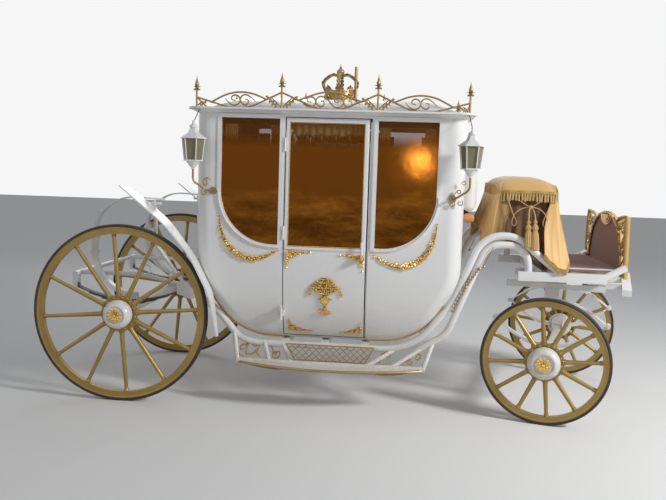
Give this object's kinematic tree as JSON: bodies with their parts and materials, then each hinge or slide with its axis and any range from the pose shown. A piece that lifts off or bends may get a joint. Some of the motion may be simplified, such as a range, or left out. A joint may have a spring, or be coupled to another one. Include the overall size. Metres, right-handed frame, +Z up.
{
  "type": "horse drawn carriage",
  "caption": "Closed four-wheeled ceremonial coach, white and gold, on a swan-neck tube frame with side doors, driver's seat and a steered fore carriage.",
  "frame": {"origin": "on the ground below the middle of the coach's overall length and width", "axes": "+X forward along the coach, +Y to its left, +Z up"},
  "size_m": [4.2161, 1.749, 2.37],
  "materials": {
    "white_paint": "gloss white paint",
    "wheel_gold": "ochre gold paint",
    "gold_trim": "bright gilt castings",
    "tyre": "solid black rubber",
    "bronze_glass": "bronze tinted window glass",
    "gold_satin": "gold satin cloth",
    "mauve_cloth": "mauve brown lining",
    "white_leather": "white padded leather",
    "dark_steel": "dark spring steel",
    "lamp_glass": "amber lamp glass",
    "floor_wood": "boarded floor"
  },
  "bodies": {
    "coach": {"floor": "white_paint", "side_right": "white_paint", "side_left": "white_paint", "front_wall": "white_paint", "rear_wall": "white_paint", "quarter_glass_right": "bronze_glass", "quarter_glass_left": "bronze_glass", "roof": "white_paint", "gallery": "gold_trim", "crown": "gold_trim", "benches": "floor_wood", "seat_cushions": "mauve_cloth", "frame_right": "white_paint", "frame_left": "white_paint", "frame_cross": "white_paint", "step_right": "white_paint", "step_left": "white_paint", "rear_axle": "white_paint", "rear_springs": "dark_steel", "c_springs": "white_paint", "body_loops": "white_paint", "mudguards": "white_paint", "seat_box": "floor_wood", "hammercloth": "gold_satin", "footboard": "mauve_cloth", "dash": "mauve_cloth", "dash_rails": "gold_trim", "seat_back": "white_leather", "lanterns": "white_paint", "lamp_panes": "lamp_glass", "lamp_brackets": "gold_trim", "frame_rear": "white_paint", "lattice_right": "gold_trim", "lattice_left": "gold_trim", "turntable_upper": "white_paint"},
    "door_right": {"door_right": "white_paint", "door_glass_right": "bronze_glass"},
    "door_left": {"door_left": "white_paint", "door_glass_left": "bronze_glass"},
    "fore_carriage": {"turntable_lower": "white_paint", "fore_beams": "white_paint", "front_springs": "white_paint", "front_axle": "white_paint"},
    "wheel_rear_right": {"rim_rear_right": "wheel_gold", "tyre_rear_right": "tyre", "hub_rear_right": "white_paint"},
    "wheel_rear_left": {"rim_rear_left": "wheel_gold", "tyre_rear_left": "tyre", "hub_rear_left": "white_paint"},
    "wheel_front_right": {"rim_front_right": "wheel_gold", "tyre_front_right": "tyre", "hub_front_right": "white_paint"},
    "wheel_front_left": {"rim_front_left": "wheel_gold", "tyre_front_left": "tyre", "hub_front_left": "white_paint"}
  },
  "joints": [
    {"name": "door_right_hinge", "type": "hinge", "parent": "coach", "child": "door_right", "pos_m": [-0.42312, -0.658, 1.2], "axis": [0, 0, -1], "range_deg": [0, 80]},
    {"name": "door_left_hinge", "type": "hinge", "parent": "coach", "child": "door_left", "pos_m": [-0.42312, 0.658, 1.2], "axis": [0, 0, 1], "range_deg": [0, 80]},
    {"name": "steering", "type": "hinge", "parent": "coach", "child": "fore_carriage", "pos_m": [1.49188, 0, 0.92], "axis": [0, 0, 1], "range_deg": [-15.2, 44.8]},
    {"name": "rear_right_spin", "type": "hinge", "parent": "coach", "child": "wheel_rear_right", "pos_m": [-1.50812, -0.712, 0.6], "axis": [0, 1, 0], "continuous": true},
    {"name": "rear_left_spin", "type": "hinge", "parent": "coach", "child": "wheel_rear_left", "pos_m": [-1.50812, 0.712, 0.6], "axis": [0, 1, 0], "continuous": true},
    {"name": "front_right_spin", "type": "hinge", "parent": "fore_carriage", "child": "wheel_front_right", "pos_m": [1.31, -0.68838, 0.415], "axis": [0.2554, 0.9668, 0], "continuous": true},
    {"name": "front_left_spin", "type": "hinge", "parent": "fore_carriage", "child": "wheel_front_left", "pos_m": [1.67376, 0.68838, 0.415], "axis": [0.2554, 0.9668, 0], "continuous": true}
  ]
}
